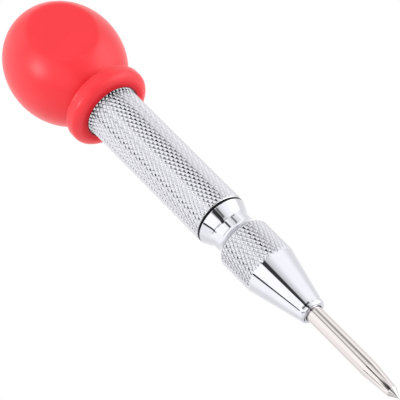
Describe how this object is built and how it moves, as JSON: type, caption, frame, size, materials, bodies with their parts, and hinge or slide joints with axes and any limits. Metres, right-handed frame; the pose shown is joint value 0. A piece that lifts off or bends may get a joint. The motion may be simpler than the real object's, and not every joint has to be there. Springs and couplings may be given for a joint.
{
  "type": "automatic center punch",
  "caption": "Spring-loaded automatic center punch with a knurled barrel, waisted nose cone, long steel punch and a ball grip that screws in and out to set the blow.",
  "frame": {"origin": "the end of the punch's point, on the tool's axis", "axes": "+Z along the tool's axis from the point to the ball grip; +Y out of one of the ball's two flats; +X the way the trip pin leans at rest"},
  "size_m": [0.0286, 0.0234, 0.1402],
  "materials": {
    "punch_steel": "drawn steel with fine lengthwise lines and a dark ground point",
    "nose_chrome": "bright plating, knurled band behind a polished cone",
    "black_rubber": "matt black",
    "barrel_chrome": "fine diamond knurl under satin plating",
    "hard_steel": "hardened and turned",
    "spring_steel": "drawn spring wire",
    "hammer_steel": "turned steel",
    "seat_brass": "turned brass",
    "cap_steel": "turned steel",
    "red_plastic": "smooth satin red"
  },
  "bodies": {
    "barrel": {"barrel": "barrel_chrome", "nose_cone": "nose_chrome", "joint_ring": "black_rubber", "trip_spring": "spring_steel"},
    "punch": {"punch": "punch_steel"},
    "trip": {"trip_pin": "hard_steel"},
    "hammer": {"hammer": "hammer_steel"},
    "seat": {"spring_seat": "seat_brass", "main_spring": "spring_steel"},
    "cap": {"adjusting_cap": "cap_steel", "ball_grip": "red_plastic"}
  },
  "joints": [
    {"name": "press_slide", "type": "slide", "parent": "barrel", "child": "punch", "axis": [0, 0, 1], "range_m": [0, 0.009], "stiffness_N_per_m": 800, "springref_m": -0.012, "deforming": ["trip_spring"]},
    {"name": "trip_tilt", "type": "hinge", "parent": "punch", "child": "trip", "pos_m": [0, 0, 0.0422], "axis": [0, -1, 0], "range_deg": [0, 2.01]},
    {"name": "hammer_slide", "type": "slide", "parent": "barrel", "child": "hammer", "axis": [0, 0, 1], "range_m": [0, 0.009], "deforming": ["main_spring"]},
    {"name": "seat_slide", "type": "slide", "parent": "barrel", "child": "seat", "axis": [0, 0, 1], "range_m": [-0.00187, 0.0025]},
    {"name": "tension_screw", "type": "hinge", "parent": "seat", "child": "cap", "pos_m": [0, 0, 0.1193], "axis": [0, 0, 1], "range_deg": [-540.5, 720.5]}
  ],
  "couplings": [
    {"joint": "trip_tilt", "follows": "press_slide", "rad_per_m": 3.89},
    {"joint": "hammer_slide", "follows": "press_slide", "ratio": 1},
    {"joint": "tension_screw", "follows": "seat_slide", "rad_per_m": 5026.5}
  ]
}
